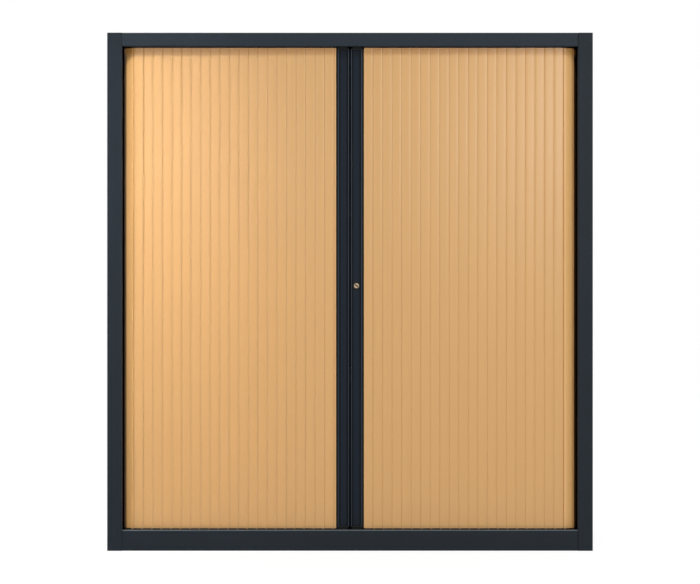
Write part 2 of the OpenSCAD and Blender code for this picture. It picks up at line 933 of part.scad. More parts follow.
slat_w = slat_pitch - slat_gap;

module at_slats(strip_w) {
  line = hinges(bar_out + strip_w);
  for (i = [0:len(line) - 2]) {
    a = hinge_at(line[i]);
    b = hinge_at(line[i + 1]);
    way = b - a;
    translate([a[0], a[1], 0]) rotate(atan2(way[1], way[0])) translate([slat_gap / 2, 0, 0]) children();
  }
}

function slat_hollow(play) = [
  [slat_wall + play, -slat_wall - play], [slat_w - slat_wall - play, -slat_wall - play],
  [slat_w - slat_wall - play, slat_wall + play - slat_t], [slat_wall + play, slat_wall + play - slat_t]
];

module slat() {
  z0 = slat_bottom + slat_cap_h;
  z1 = slat_top - slat_cap_h;
  translate([0, 0, z0]) linear_extrude(z1 - z0) difference() {
    polygon(slat_outline(slat_w, slat_edge_r));
    polygon(slat_hollow(0));
  }
}

// The first strip is cut to width, and its tongue sits in the bar's groove
module joining_strip(w) {
  tongue_y = hinge_y - slat_t / 2;
  tongue_l = groove_d - plug_play;
  body = w - slat_gap;
  translate([bar_out + slat_gap / 2, hinge_y, slat_bottom])
    linear_extrude(slat_top - slat_bottom) polygon(slat_outline(body, slat_edge_r));
  block(
    [bar_out - tongue_l, tongue_y - tongue_t / 2, bar_bottom],
    [bar_out + slat_gap, tongue_y + tongue_t / 2, bar_top]
  );
}

module slats(side, strip_w) {
  color(beech) mirrored(side) {
    joining_strip(strip_w);
    at_slats(strip_w) slat();
  }
}

module left_slats() {
  slats("left", left_strip_w);
}

module right_slats() {
  slats("right", right_strip_w);
}

// A slat's end cap: collar, plug in the hollow and guide pin
module slat_cap(pin_len) {
  linear_extrude(slat_cap_h) polygon(slat_outline(slat_w, slat_edge_r));
  translate([0, 0, slat_cap_h]) linear_extrude(plug_len) polygon(slat_hollow(plug_play));
  translate([pin_inset, -slat_t / 2, -pin_len]) cylinder(d = pin_d, h = pin_len);
}

module slat_caps(side, strip_w) {
  low_pin = slat_bottom - floor_z - track_base - run_lift;
  high_pin = ceiling_z - track_base - top_play - slat_top;
  color(beech) mirrored(side) at_slats(strip_w) {
    translate([0, 0, slat_bottom]) slat_cap(low_pin);
    translate([0, 0, slat_top]) mirror([0, 0, 1]) slat_cap(high_pin);
  }
}

module left_slat_caps() {
  slat_caps("left", left_strip_w);
}

module right_slat_caps() {
  slat_caps("right", right_strip_w);
}

// Lock

module at_lock() {
  translate([lock_x, 0, lock_z]) children();
}

module lock_housing() {
  bore = lock_plug_d + 2 * lock_play;
  color(black_plastic) at_lock() difference() {
    union() {
      depth_cylinder(ring_d, grip_floor_y - ring_t, grip_floor_y);
      depth_cylinder(housing_d, grip_floor_y, housing_end_y);
    }
    depth_cylinder(bore, grip_floor_y - ring_t - overcut, housing_end_y + overcut);
  }
}

module lock_ring_nut() {
  y = grip_floor_y + bar_wall;
  color(zinc) at_lock() difference() {
    depth_cylinder(ring_nut_d, y, y + ring_nut_t);
    depth_cylinder(housing_d + 2 * nut_play, y - overcut, y + ring_nut_t + overcut);
  }
}

module lock_plug() {
  front = grip_floor_y - ring_t - plug_proud;
  shoulder = housing_end_y + cam_seat;
  color(nickel) at_lock() difference() {
    union() {
      depth_cylinder(lock_plug_d, front, shoulder);
      depth_cylinder(tail_d, shoulder, cam_y + cam_t + nut_t);
    }
    rotate([0, keyway_tilt, 0]) block(
      [-keyway_l / 2, front - overcut, -keyway_w / 2],
      [keyway_l / 2, front + keyway_d, keyway_w / 2]
    );
  }
}

// Hub, arm and hook; the arm stands up when unlocked, and the hook leads to the left
module lock_cam() {
  hub_d = tail_d + 2 * hub_wall;
  reach = 90 + hook_angle;
  flank = 90 - asin(cam_w / 2 / hook_out_r);
  outline = concat(
    arc([0, 0], hook_out_r, flank, reach, 6),
    arc([0, 0], hook_in_r, reach, 180 - acos(cam_w / 2 / hook_in_r), 4),
    [[-cam_w / 2, 0], [cam_w / 2, 0]]
  );
  color(zinc) at_lock() difference() {
    union() {
      depth_cylinder(hub_d, cam_y, cam_y + cam_t);
      depth_prism(outline, cam_y, cam_y + cam_t);
    }
    depth_cylinder(tail_d + 2 * nut_play, cam_y - overcut, cam_y + cam_t + overcut);
  }
}

module lock_cam_nut() {
  y = cam_y + cam_t;
  color(zinc) at_lock() difference() {
    translate([0, y, 0]) rotate([-90, 0, 0]) cylinder(d = nut_af / cos(30), h = nut_t, $fn = 6);
    depth_cylinder(tail_d + 2 * nut_play, y - overcut, y + nut_t + overcut);
  }
}

module lock_keeper() {
  x = bar_in + bar_wall;
  color(zinc) difference() {
    block(
      [-keeper_x, bar_front_y + chamber_y + plug_play, lock_z - keeper_low],
      [-x, bar_front_y + bar_d - bar_wall - plug_play, lock_z + keeper_high]
    );
    cam_slot(-keeper_x - overcut, overcut - x, hook_pass(-bar_in));
  }
}

// Levelling feet

// A hat-shaped bracket under the floor, with a weld nut on its web
module foot_bracket() {
  t = sheet_t;
  web = bracket_w / 2;
  outline = folded(
    [
      [-web - bracket_foot_w, under_floor], [-web, under_floor], [-web, bracket_z], [web, bracket_z],
      [web, under_floor], [web + bracket_foot_w, under_floor]
    ],
    [fold_r, fold_r, fold_r, fold_r], t
  );
  difference() {
    union() {
      depth_prism(outline, -bracket_d / 2, bracket_d / 2);
      translate([0, 0, bracket_z]) cylinder(d = weld_nut_af / cos(30), h = weld_nut_t, $fn = 6);
    }
    translate([0, 0, bracket_z - 2 * t]) cylinder(d = stud_d + 2 * stud_play, h = weld_nut_t + 4 * t);
  }
}

module foot_brackets() {
  color(zinc)
    for (x = [-foot_x, foot_x], y = [-foot_y, foot_y]) translate([x, y, 0]) foot_bracket();
}

module floor_plugs() {
  color(black_plastic)
    for (x = [-foot_x, foot_x], y = [-foot_y, foot_y]) translate([x, y, floor_z]) {
      cylinder(d = cap_d, h = cap_t);
      translate([0, 0, -spigot_len]) cylinder(d = access_d - 2 * cap_play, h = spigot_len);
    }
}

// The stud has a screwdriver slot in its upper end
module foot_stud(x, y) {
  color(zinc) translate([x, y, 0]) difference() {
    translate([0, 0, stud_bottom]) cylinder(d = stud_d, h = stud_top - stud_bottom);
    block([-stud_d, -kerf_w / 2, stud_top - kerf_d], [stud_d, kerf_w / 2, stud_top + overcut]);
  }
}

module foot_pad(x, y) {
  color(black_plastic) translate([x, y, pad_lift]) difference() {
    cylinder(d = pad_d, h = pad_h);
    translate([0, 0, pad_h - socket_d]) cylinder(d = stud_d + 2 * stud_play, h = socket_d + overcut);
  }
}

module front_left_stud() {
  foot_stud(-foot_x, -foot_y);
}

module front_left_pad() {
  foot_pad(-foot_x, -foot_y);
}

module front_right_stud() {
  foot_stud(foot_x, -foot_y);
}

module front_right_pad() {
  foot_pad(foot_x, -foot_y);
}

module rear_left_stud() {
  foot_stud(-foot_x, foot_y);
}

module rear_left_pad() {
  foot_pad(-foot_x, foot_y);
}

module rear_right_stud() {
  foot_stud(foot_x, foot_y);
}

module rear_right_pad() {
  foot_pad(foot_x, foot_y);
}

left_side_panel();
right_side_panel();
top_panel();
ceiling_panel();
back_panel();
plinth_rail();
floor_panel();
rear_base_rail();
left_liner();
right_liner();
inner_back();
lower_front_track();
upper_front_track();
left_lower_track();
left_upper_track();
right_lower_track();
right_upper_track();
centre_stops();
shelf_uprights();
lower_shelf();
upper_shelf();
shelf_clips();
back_rivets();
foot_brackets();
floor_plugs();
left_bar();
left_bar_caps();
left_glides();
left_slats();
left_slat_caps();
lock_keeper();
right_bar();
right_bar_caps();
right_glides();
right_slats();
right_slat_caps();
lock_housing();
lock_ring_nut();
lock_plug();
lock_cam();
lock_cam_nut();
front_left_stud();
front_left_pad();
front_right_stud();
front_right_pad();
rear_left_stud();
rear_left_pad();
rear_right_stud();
rear_right_pad();
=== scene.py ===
import json
import math

import bmesh
import bpy
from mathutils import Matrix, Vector

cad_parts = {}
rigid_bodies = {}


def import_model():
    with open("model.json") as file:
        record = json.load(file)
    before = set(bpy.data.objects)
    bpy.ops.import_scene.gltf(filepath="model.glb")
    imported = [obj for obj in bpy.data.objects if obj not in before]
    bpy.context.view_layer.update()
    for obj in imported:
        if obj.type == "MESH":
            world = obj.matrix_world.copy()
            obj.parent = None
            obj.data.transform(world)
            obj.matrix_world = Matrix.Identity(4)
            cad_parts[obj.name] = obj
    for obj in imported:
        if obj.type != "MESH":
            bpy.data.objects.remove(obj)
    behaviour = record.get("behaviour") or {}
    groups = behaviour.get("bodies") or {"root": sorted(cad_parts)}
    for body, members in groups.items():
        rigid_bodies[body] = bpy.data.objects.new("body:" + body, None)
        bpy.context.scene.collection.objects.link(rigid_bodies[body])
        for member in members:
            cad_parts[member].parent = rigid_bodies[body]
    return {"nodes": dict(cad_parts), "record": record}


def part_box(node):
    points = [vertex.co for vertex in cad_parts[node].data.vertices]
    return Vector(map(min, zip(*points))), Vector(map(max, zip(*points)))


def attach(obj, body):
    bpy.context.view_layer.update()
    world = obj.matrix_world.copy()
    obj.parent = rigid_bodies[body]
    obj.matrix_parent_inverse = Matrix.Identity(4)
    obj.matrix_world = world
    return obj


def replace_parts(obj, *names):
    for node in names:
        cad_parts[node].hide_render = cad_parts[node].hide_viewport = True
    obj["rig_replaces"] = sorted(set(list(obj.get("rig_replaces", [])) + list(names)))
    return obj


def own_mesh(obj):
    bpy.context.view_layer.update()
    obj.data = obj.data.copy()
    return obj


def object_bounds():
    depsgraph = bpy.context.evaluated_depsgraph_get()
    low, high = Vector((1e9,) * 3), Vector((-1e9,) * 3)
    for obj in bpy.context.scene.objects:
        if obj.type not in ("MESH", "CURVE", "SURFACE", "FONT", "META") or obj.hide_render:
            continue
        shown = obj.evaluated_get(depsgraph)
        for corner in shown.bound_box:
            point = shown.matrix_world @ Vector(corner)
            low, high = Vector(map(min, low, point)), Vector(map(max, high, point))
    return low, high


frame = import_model()
cad_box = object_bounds()
scene = bpy.context.scene
MM = 0.001
SIGN = {"left": -1, "right": 1}

# The curtains' sizes, as the solids have them. A strip stands between a bar and its first slat.
SLAT_PITCH = 23.6 * MM
SLAT_THICKNESS = 6 * MM
SLAT_CAP = 5 * MM
STRIPS = {"left": 5.8 * MM, "right": 22.8 * MM}
TURN_RADIUS = 30.5 * MM
TAIL = 50 * MM
PIN_DIAMETER = 3.5 * MM
PIN_INSET = 3 * MM

# How the slats meet: soft edges beside open joints, and webs across the joints that the turn opens
JOINTS = {"left": 0.3 * MM, "right": 0.2 * MM}
EDGE_WIDTH = 7 * MM
EDGE_DROP = 0.95 * MM
CAP_JOINT = 0.3 * MM
STRIP_JOINT = 0.5 * MM
WEB_REACH = 2 * MM
WEB_SETBACK = 2.5 * MM

# Places, from the solids. The curtains' hinges lie in their backs.
carcass_front = cad_box[0].y
bar_low, bar_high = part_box("right_bar")
strip_low, strip_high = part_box("right_slats")
pins_low, pins_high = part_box("right_slat_caps")
plug_low, plug_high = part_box("lock_plug")
plinth_low, plinth_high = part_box("plinth_rail")
RAIL_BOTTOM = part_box("top_panel")[0].z
GRIP_MIDDLE = (plug_low.x + plug_high.x) / 2
HINGE_Y = strip_low.y + SLAT_THICKNESS
SIDE_X = strip_high.x - SLAT_THICKNESS
TURN_X = SIDE_X - TURN_RADIUS
TURN_Y = HINGE_Y + TURN_RADIUS


# Nodes, for materials and for Geometry Nodes alike

def add(tree, kind, inputs=None, **settings):
    """One node with its settings. An input takes a value, a node's output, or a list of outputs."""
    node = tree.nodes.new(kind)
    for name, value in settings.items():
        setattr(node, name, value)
    for name, value in (inputs or {}).items():
        for one in value if isinstance(value, list) else [value]:
            if isinstance(one, bpy.types.NodeSocket):
                tree.links.new(one, node.inputs[name])
            else:
                node.inputs[name].default_value = one
    return node


def linear(code):
    """An sRGB hex colour as linear red, green, blue and alpha."""
    channels = [int(code[i:i + 2], 16) / 255 for i in (1, 3, 5)]
    return (*(c / 12.92 if c <= 0.04045 else ((c + 0.055) / 1.055) ** 2.4 for c in channels), 1.0)


def bare_finish(name, inputs):
    """A new material: its tree, its shader and the piece's own coordinates in metres."""
    material = bpy.data.materials.new(name)
    material.use_nodes = True
    tree = material.node_tree
    tree.nodes.clear()
    shader = add(tree, "ShaderNodeBsdfPrincipled", inputs)
    add(tree, "ShaderNodeOutputMaterial", {"Surface": shader.outputs["BSDF"]})
    return material, tree, shader, add(tree, "ShaderNodeTexCoord").outputs["Object"]


# Noise hardly goes beyond these values
NOISE_RANGE = (0.3, 0.7)


def dress(tree, shader, tone, pattern, roughness, relief=None, pattern_range=NOISE_RANGE):
    """Gives a shader its tone, a roughness that follows a pattern between two values, and its relief."""
    sheen = add(tree, "ShaderNodeMapRange", {
        "Value": pattern, "From Min": pattern_range[0], "From Max": pattern_range[1],
        "To Min": roughness[0], "To Max": roughness[1],
    })
    tree.links.new(tone, shader.inputs["Base Color"])
    tree.links.new(sheen.outputs["Result"], shader.inputs["Roughness"])
    if relief is not None:
        tree.links.new(relief, shader.inputs["Normal"])


# Every band laid over a tone here is painted light or shade
def lay_painted_light(tree, place, tone, bands):
    """Lays other colours over a tone. A band is a colour and its limits, and a limit is an axis, a distance to
    measure from on both sides of the cabinet (or None), where the band starts, and where it is full."""
    for colour, limits in bands:
        parts = add(tree, "ShaderNodeSeparateXYZ", {"Vector": place}).outputs
        share = 1.0
        for axis, distance, start, full in limits:
            value = parts[axis]
            if distance is not None:
                side = add(tree, "ShaderNodeMath", {0: value}, operation="ABSOLUTE").outputs["Value"]
                gap = add(tree, "ShaderNodeMath", {0: side, 1: distance}, operation="SUBTRACT").outputs["Value"]
                value = add(tree, "ShaderNodeMath", {0: gap}, operation="ABSOLUTE").outputs["Value"]
            limit = add(tree, "ShaderNodeMapRange", {"Value": value, "From Min": start, "From Max": full})
            both = add(tree, "ShaderNodeMath", {0: limit.outputs["Result"], 1: share}, operation="MULTIPLY")
            share = both.outputs["Value"]
        tone = add(tree, "ShaderNodeMix", {0: share, 6: tone, 7: linear(colour)}, data_type="RGBA").outputs[2]
    return tone


# Painted shade: darker colour down in the corners of a bar's grip and by the curtain, where shade falls.
# Painted highlight: the rims are brighter, and more so the higher up, where the light from above falls.
INTO_GRIP = ("Y", None, bar_low.y + 1 * MM, bar_low.y + 6 * MM)
ON_BAR_FRONT = ("Y", None, bar_low.y + 1 * MM, bar_low.y)
HIGHER_UP = ("Z", None, -0.9, 1.25)
PAINTED_BAR_SHADE_AND_HIGHLIGHT = [
    ("#1A222C", [INTO_GRIP]),
    ("#0C1116", [INTO_GRIP, ("X", GRIP_MIDDLE, 6 * MM, 9.5 * MM)]),
    ("#080C10", [("X", 0.0, bar_high.x - 4.2 * MM, bar_high.x - 3 * MM)]),
    ("#3A424A", [ON_BAR_FRONT, HIGHER_UP, ("X", bar_low.x + 1.5 * MM, 1.6 * MM, 0.8 * MM)]),
    ("#3A424A", [ON_BAR_FRONT, HIGHER_UP, ("X", bar_high.x - 5.5 * MM, 1.6 * MM, 0.8 * MM)]),
]
# A painted highlight on the plinth's rounded top edge, where the light from above catches it
PAINTED_LIP_HIGHLIGHT = [("#5A6168", [
    ("Z", None, plinth_high.z - 2.4 * MM, plinth_high.z - 2.0 * MM),
    ("Y", None, plinth_low.y + 4 * MM, plinth_low.y + 3 * MM),
])]
# Painted shade on the slats: dark where they go round the side into the stile's shade, a deeper tone in the rail's
# shadow, and near black in the shade right under the rail
PAINTED_SLAT_SHADE = [
    ("#6A4A28", [("X", 0.0, SIDE_X - 7 * MM, SIDE_X - 1 * MM)]),
    ("#CC934E", [("Z", None, RAIL_BOTTOM - 24 * MM, RAIL_BOTTOM - 10 * MM)]),
    ("#20160B", [("Z", None, RAIL_BOTTOM - 2.5 * MM, RAIL_BOTTOM - 1.9 * MM)]),
]
# Painted shade inside the keyway
PAINTED_KEYWAY_SHADE = [("#39424C", [("Y", None, plug_low.y + 0.4 * MM, plug_low.y + 1.2 * MM)])]


def powder_coat(name, dark, light, roughness, gloss, peel, painted_light=()):
    """Baked powder coat: matt to satin, and a fine orange peel that breaks up what it mirrors."""
    material, tree, shader, place = bare_finish(name, {"IOR": 1.5, "Specular IOR Level": gloss})
    clouds = add(tree, "ShaderNodeTexNoise", {"Vector": place, "Scale": 1 / (140 * MM), "Detail": 3.0})
    # The peel's real humps are about 1 mm wide. They are drawn at 3 mm, to show at all.
    humps = add(tree, "ShaderNodeTexNoise", {"Vector": place, "Scale": 1 / (3 * MM), "Detail": 2.0}).outputs["Fac"]
    tone = add(tree, "ShaderNodeMix", {
        0: clouds.outputs["Fac"], 6: linear(dark), 7: linear(light),
    }, data_type="RGBA").outputs[2]
    bump = add(tree, "ShaderNodeBump", {"Height": humps, "Strength": peel, "Distance": 0.2 * MM})
    dress(tree, shader, lay_painted_light(tree, place, tone, painted_light), humps, roughness, bump.outputs["Normal"])
    return material


def beech_tone_pvc(name, dark, light):
    """Extruded PVC in a beech tone: satin, with faint streaks along the slat and a little change from slat to slat."""
    material, tree, shader, place = bare_finish(name, {"IOR": 1.54, "Specular IOR Level": 0.55})
    # Both patterns run along the slat: 9 mm streaks in its mass, and the die lines of its skin.
    # Die lines are a fraction of a millimetre wide. They are drawn at 1.5 mm.
    patterns = []
    for width, detail in ((9 * MM, 1.0), (1.5 * MM, 2.0)):
        size = add(tree, "ShaderNodeMapping", {"Vector": place, "Scale": (1 / width, 1 / width, 1 / (500 * MM))})
        patterns.append(add(tree, "ShaderNodeTexNoise", {
            "Vector": size.outputs["Vector"], "Scale": 1.0, "Detail": detail,
        }).outputs["Fac"])
    streaks, lines = patterns
    slat = add(tree, "ShaderNodeAttribute", attribute_name="slat_tone")
    share = add(tree, "ShaderNodeMath", {0: streaks, 1: slat.outputs["Fac"]}, operation="ADD")
    tone = add(tree, "ShaderNodeMix", {
        0: share.outputs["Value"], 6: linear(dark), 7: linear(light),
    }, data_type="RGBA").outputs[2]
    bump = add(tree, "ShaderNodeBump", {"Height": lines, "Strength": 0.02, "Distance": 0.1 * MM})
    dress(tree, shader, lay_painted_light(tree, place, tone, PAINTED_SLAT_SHADE), streaks, (0.28, 0.29), bump.outputs["Normal"])
    return material


def moulded_plastic(name, dark, light, roughness):
    """Injection-moulded plastic with the fine spark-eroded grain of its mould."""
    material, tree, shader, place = bare_finish(name, {"IOR": 1.49, "Specular IOR Level": 0.2})
    grain = add(tree, "ShaderNodeTexNoise", {"Vector": place, "Scale": 1 / (0.8 * MM), "Detail": 2.0}).outputs["Fac"]
    tone = add(tree, "ShaderNodeMix", {0: grain, 6: linear(dark), 7: linear(light)}, data_type="RGBA")
    bump = add(tree, "ShaderNodeBump", {"Height": grain, "Strength": 0.15, "Distance": 0.1 * MM})
    dress(tree, shader, tone.outputs[2], grain, roughness, bump.outputs["Normal"])
    return material


def zinc_plate(name, dark, light):
    """Zinc-plated steel: a soft blue-grey metal, cloudy where the bath left it uneven."""
    material, tree, shader, place = bare_finish(name, {"Metallic": 1.0})
    clouds = add(tree, "ShaderNodeTexNoise", {"Vector": place, "Scale": 1 / (9 * MM), "Detail": 4.0}).outputs["Fac"]
    tone = add(tree, "ShaderNodeMix", {0: clouds, 6: linear(dark), 7: linear(light)}, data_type="RGBA")
    dress(tree, shader, tone.outputs[2], clouds, (0.3, 0.46))
    return material


def turned_nickel(name, dark, light, axis, painted_light):
    """Nickel plate over a turned face: warm and dulled, with soft rings round the lock's axis."""
    material, tree, shader, place = bare_finish(name, {"Metallic": 1.0})
    centred = add(tree, "ShaderNodeMapping", {"Vector": place, "Location": (-axis.x, 0.0, -axis.z)})
    # Tool marks are about 0.1 mm apart. They are drawn about 6 mm apart: a wave repeats each 2 pi / (20 * scale).
    ring_spacing = 2 * math.pi * MM
    rings = add(tree, "ShaderNodeTexWave", {
        "Vector": centred.outputs["Vector"], "Scale": 2 * math.pi / (20 * ring_spacing),
        "Distortion": 0.4, "Detail": 2.0,
    }, wave_type="RINGS", rings_direction="Y").outputs["Fac"]
    tone = add(tree, "ShaderNodeMix", {0: rings, 6: linear(dark), 7: linear(light)}, data_type="RGBA").outputs[2]
    dress(tree, shader, lay_painted_light(tree, place, tone, painted_light), rings, (0.3, 0.38), pattern_range=(0.0, 1.0))
    return material


# By material slot, and by node or use where a piece has a finish of its own
FINISHES = {
    "coated_steel": powder_coat(
        "powder_coated_steel", "#1B2229", "#1F262D", roughness=(0.4, 0.52), gloss=0.14, peel=0.22),
    "coated_aluminium": powder_coat(
        "powder_coated_aluminium", "#1D252C", "#212930", roughness=(0.36, 0.48), gloss=0.1, peel=0.12, painted_light=PAINTED_BAR_SHADE_AND_HIGHLIGHT),
    # The top panel: a lighter copy of the steel's coat, painted light for the light from above that falls on the top
    # rail
    "top_panel": powder_coat(
        "powder_coated_top_painted_lighter", "#212931", "#262E36", roughness=(0.4, 0.52), gloss=0.15, peel=0.22),
    "plinth_rail": powder_coat(
        "powder_coated_plinth", "#1B2229", "#1F262D", roughness=(0.4, 0.52), gloss=0.14, peel=0.22, painted_light=PAINTED_LIP_HIGHLIGHT),
    "beech_pvc": beech_tone_pvc("beech_tone_pvc", "#D1A163", "#D5A466"),
    # Slats in the turn and behind it: a paler copy of the slat colour, painted light where the stile keeps the lamps'
    # light off them
    "corner_slats": beech_tone_pvc("beech_tone_pvc_painted_lighter", "#E2B06F", "#E6B372"),
    "black_plastic": moulded_plastic("black_acetal", "#08090A", "#0D0E10", roughness=(0.45, 0.55)),
    "foot_plastic": moulded_plastic("black_polyethylene", "#17181A", "#1F2022", roughness=(0.55, 0.65)),
    "zinc_steel": zinc_plate("zinc_plated_steel", "#A4A8AC", "#C4C6C8"),
    "nickel_plate": turned_nickel(
        "turned_nickel_plate", "#94826F", "#B0997F", axis=(plug_low + plug_high) / 2, painted_light=PAINTED_KEYWAY_SHADE),
}


# Pieces

def shown(name, mesh):
    obj = bpy.data.objects.new(name, mesh)
    scene.collection.objects.link(obj)
    return obj


def settled(obj):
    """Turns what the modifiers make into the object's own plain mesh."""
    graph = bpy.context.evaluated_depsgraph_get()
    mesh = bpy.data.meshes.new_from_object(obj.evaluated_get(graph))
    obj.modifiers.clear()
    obj.data = mesh
    return obj


def body_of_node(name):
    return next(body for body, members in frame["record"]["behaviour"]["bodies"].items() if name in members)


def slot_of_node(name):
    return next(part["material_slot"] for part in frame["record"]["subparts"] if part["node"] == name)


SAME_POINT = 0.001 * MM
SAME_PLANE = math.radians(0.4)
SHARP_EDGE = math.radians(40)
ON_FRONT = 0.01 * MM
ABOVE_GROUND = 1 * MM
LONG_EDGE = 0.5


def eased(name, width, rim=None):
    """A rigid piece in its solid's shape, with its sharp edges broken as the real ones are, so that they catch light.
    A rim radius rounds the long edges of its front more."""
    mesh = frame["nodes"][name].data.copy()
    shape = bmesh.new()
    shape.from_mesh(mesh)
    bmesh.ops.remove_doubles(shape, verts=shape.verts, dist=SAME_POINT)
    bmesh.ops.dissolve_limit(shape, angle_limit=SAME_PLANE, verts=shape.verts, edges=shape.edges)
    if rim:
        front = min(v.co.y for v in shape.verts)
        rims = [e for e in shape.edges if e.calc_length() > LONG_EDGE
                and all(v.co.y < front + ON_FRONT and v.co.z > ABOVE_GROUND for v in e.verts)]
        bmesh.ops.bevel(shape, geom=rims, offset=rim, offset_type="OFFSET", segments=4, profile=0.5, affect="EDGES")
    for face in shape.faces:
        face.smooth = True
    shape.to_mesh(mesh)
    shape.free()
    slot = slot_of_node(name)
    mesh.materials.clear()
    mesh.materials.append(FINISHES.get(name, FINISHES[slot]))
    obj = shown(name + "_eased", mesh)
    bevel = obj.modifiers.new("broken edges", "BEVEL")
    bevel.width = width
    bevel.segments = 2
    bevel.limit_method = "ANGLE"
    bevel.angle_limit = SHARP_EDGE
    normals = obj.modifiers.new("flat faces stay flat", "WEIGHTED_NORMAL")
    normals.weight = 100
    normals.keep_sharp = True
    settled(obj)
    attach(obj, body_of_node(name))
    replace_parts(obj, name)


# Curtains: a tree sets one slat on each edge of a hinge line

EDGE_STEPS = 7
PIN_SIDES = 12
TONE_CHANGE = 0.15


def slat_tree():
    tree = bpy.data.node_groups.new("slats on a hinge line", "GeometryNodeTree")
    face = tree.interface
    face.new_socket("Hinge line", in_out="INPUT", socket_type="NodeSocketGeometry")
    for name in ("Width", "Thickness", "Edge width", "Edge drop", "Bottom", "Top", "Cap height", "Cap joint",
                 "Pin offset", "Pin radius", "Pin bottom", "Pin top"):
        face.new_socket(name, in_out="INPUT", socket_type="NodeSocketFloat")
    face.new_socket("Plain strip", in_out="INPUT", socket_type="NodeSocketBool")
    face.new_socket("Seed", in_out="INPUT", socket_type="NodeSocketInt")
    face.new_socket("Finish", in_out="INPUT", socket_type="NodeSocketMaterial")
    face.new_socket("Slats", in_out="OUTPUT", socket_type="NodeSocketGeometry")
    given = {socket.name: socket for socket in add(tree, "NodeGroupInput").outputs}

    # Sizes that follow from those given
    for name, first, operation, second in (
        ("Squeeze", "Edge drop", "DIVIDE", "Edge width"),
        ("Unsqueezed thickness", "Thickness", "DIVIDE", "Squeeze"),
        ("Strip bottom", "Bottom", "ADD", "Cap height"),
        ("Strip top", "Top", "SUBTRACT", "Cap height"),
        ("Lower cap top", "Strip bottom", "SUBTRACT", "Cap joint"),
        ("Upper cap bottom", "Strip top", "ADD", "Cap joint"),
    ):
        result = add(tree, "ShaderNodeMath", {0: given[first], 1: given[second]}, operation=operation)
        given[name] = result.outputs["Value"]

    # The section: a slat is flat in the middle, and its edges fall off on a quarter of an ellipse.
    # The ellipse is a round fillet, squeezed. The section stands in front of the hinge line.
    sheet = add(tree, "GeometryNodeCurvePrimitiveQuadrilateral", {
        "Width": given["Width"], "Height": given["Unsqueezed thickness"],
    })
    rounded = add(tree, "GeometryNodeFilletCurve", {
        "Curve": sheet.outputs["Curve"], "Radius": given["Edge width"], "Count": EDGE_STEPS, "Limit Radius": True,
    }, mode="POLY")
    squeeze = add(tree, "ShaderNodeCombineXYZ", {"X": 1.0, "Y": given["Squeeze"], "Z": 1.0})
    forward = add(tree, "ShaderNodeMath", {0: given["Thickness"], 1: -0.5}, operation="MULTIPLY").outputs["Value"]
    shift = add(tree, "ShaderNodeCombineXYZ", {"Y": forward})
    outline = add(tree, "GeometryNodeTransform", {
        "Geometry": rounded.outputs["Curve"],
        "Scale": squeeze.outputs["Vector"], "Translation": shift.outputs["Vector"],
    }).outputs["Geometry"]
    pin_circle = add(tree, "GeometryNodeCurvePrimitiveCircle", {
        "Resolution": PIN_SIDES, "Radius": given["Pin radius"],
    })
    pin_place = add(tree, "ShaderNodeCombineXYZ", {"X": given["Pin offset"], "Y": forward})
    pin_outline = add(tree, "GeometryNodeTransform", {
        "Geometry": pin_circle.outputs["Curve"], "Translation": pin_place.outputs["Vector"],
    }).outputs["Geometry"]

    # A slat is a strip between two end caps, each with its guide pin. A plain strip has neither.
    prisms = []
    for low, high, section in (
        ("Bottom", "Lower cap top", outline), ("Strip bottom", "Strip top", outline),
        ("Upper cap bottom", "Top", outline),
        ("Pin bottom", "Bottom", pin_outline), ("Top", "Pin top", pin_outline),
        ("Bottom", "Top", outline),
    ):
        start = add(tree, "ShaderNodeCombineXYZ", {"Z": given[low]})
        end = add(tree, "ShaderNodeCombineXYZ", {"Z": given[high]})
        upright = add(tree, "GeometryNodeCurvePrimitiveLine", {
            "Start": start.outputs["Vector"], "End": end.outputs["Vector"],
        })
        prisms.append(add(tree, "GeometryNodeCurveToMesh", {
            "Curve": upright.outputs["Curve"], "Profile Curve": section, "Fill Caps": True,
        }).outputs["Mesh"])
    *capped, plain = prisms
    whole = add(tree, "GeometryNodeJoinGeometry", {"Geometry": capped})
    slat = add(tree, "GeometryNodeSwitch", {
        "Switch": given["Plain strip"], "False": whole.outputs["Geometry"], "True": plain,
    }, input_type="GEOMETRY")

    # One slat stands on the middle of each edge and looks along it
    ends = add(tree, "GeometryNodeInputMeshEdgeVertices").outputs
    along = add(tree, "ShaderNodeVectorMath", {0: ends["Position 2"], 1: ends["Position 1"]}, operation="SUBTRACT")
    kept = add(tree, "GeometryNodeCaptureAttribute", {"Geometry": given["Hinge line"]}, domain="EDGE")
    kept.capture_items.new("VECTOR", "Along")
    tree.links.new(along.outputs["Vector"], kept.inputs["Along"])
    middles = add(tree, "GeometryNodeMeshToPoints", {"Mesh": kept.outputs["Geometry"]}, mode="EDGES")
    facing = add(tree, "FunctionNodeAlignRotationToVector", {
        "Vector": kept.outputs["Along"],
    }, axis="X", pivot_axis="Z")
    copies = add(tree, "GeometryNodeInstanceOnPoints", {
        "Points": middles.outputs["Points"], "Instance": slat.outputs["Output"],
        "Rotation": facing.outputs["Rotation"],
    })
    tones = add(tree, "FunctionNodeRandomValue", {2: -TONE_CHANGE, 3: TONE_CHANGE, "Seed": given["Seed"]})
    toned = add(tree, "GeometryNodeStoreNamedAttribute", {
        "Geometry": copies.outputs["Instances"], "Name": "slat_tone", "Value": tones.outputs[1],
    }, data_type="FLOAT", domain="INSTANCE")
    real = add(tree, "GeometryNodeRealizeInstances", {"Geometry": toned.outputs["Geometry"]})
    finished = add(tree, "GeometryNodeSetMaterial", {
        "Geometry": real.outputs["Geometry"], "Material": given["Finish"],
    })
    add(tree, "NodeGroupOutput", {"Slats": finished.outputs["Geometry"]})
    return tree


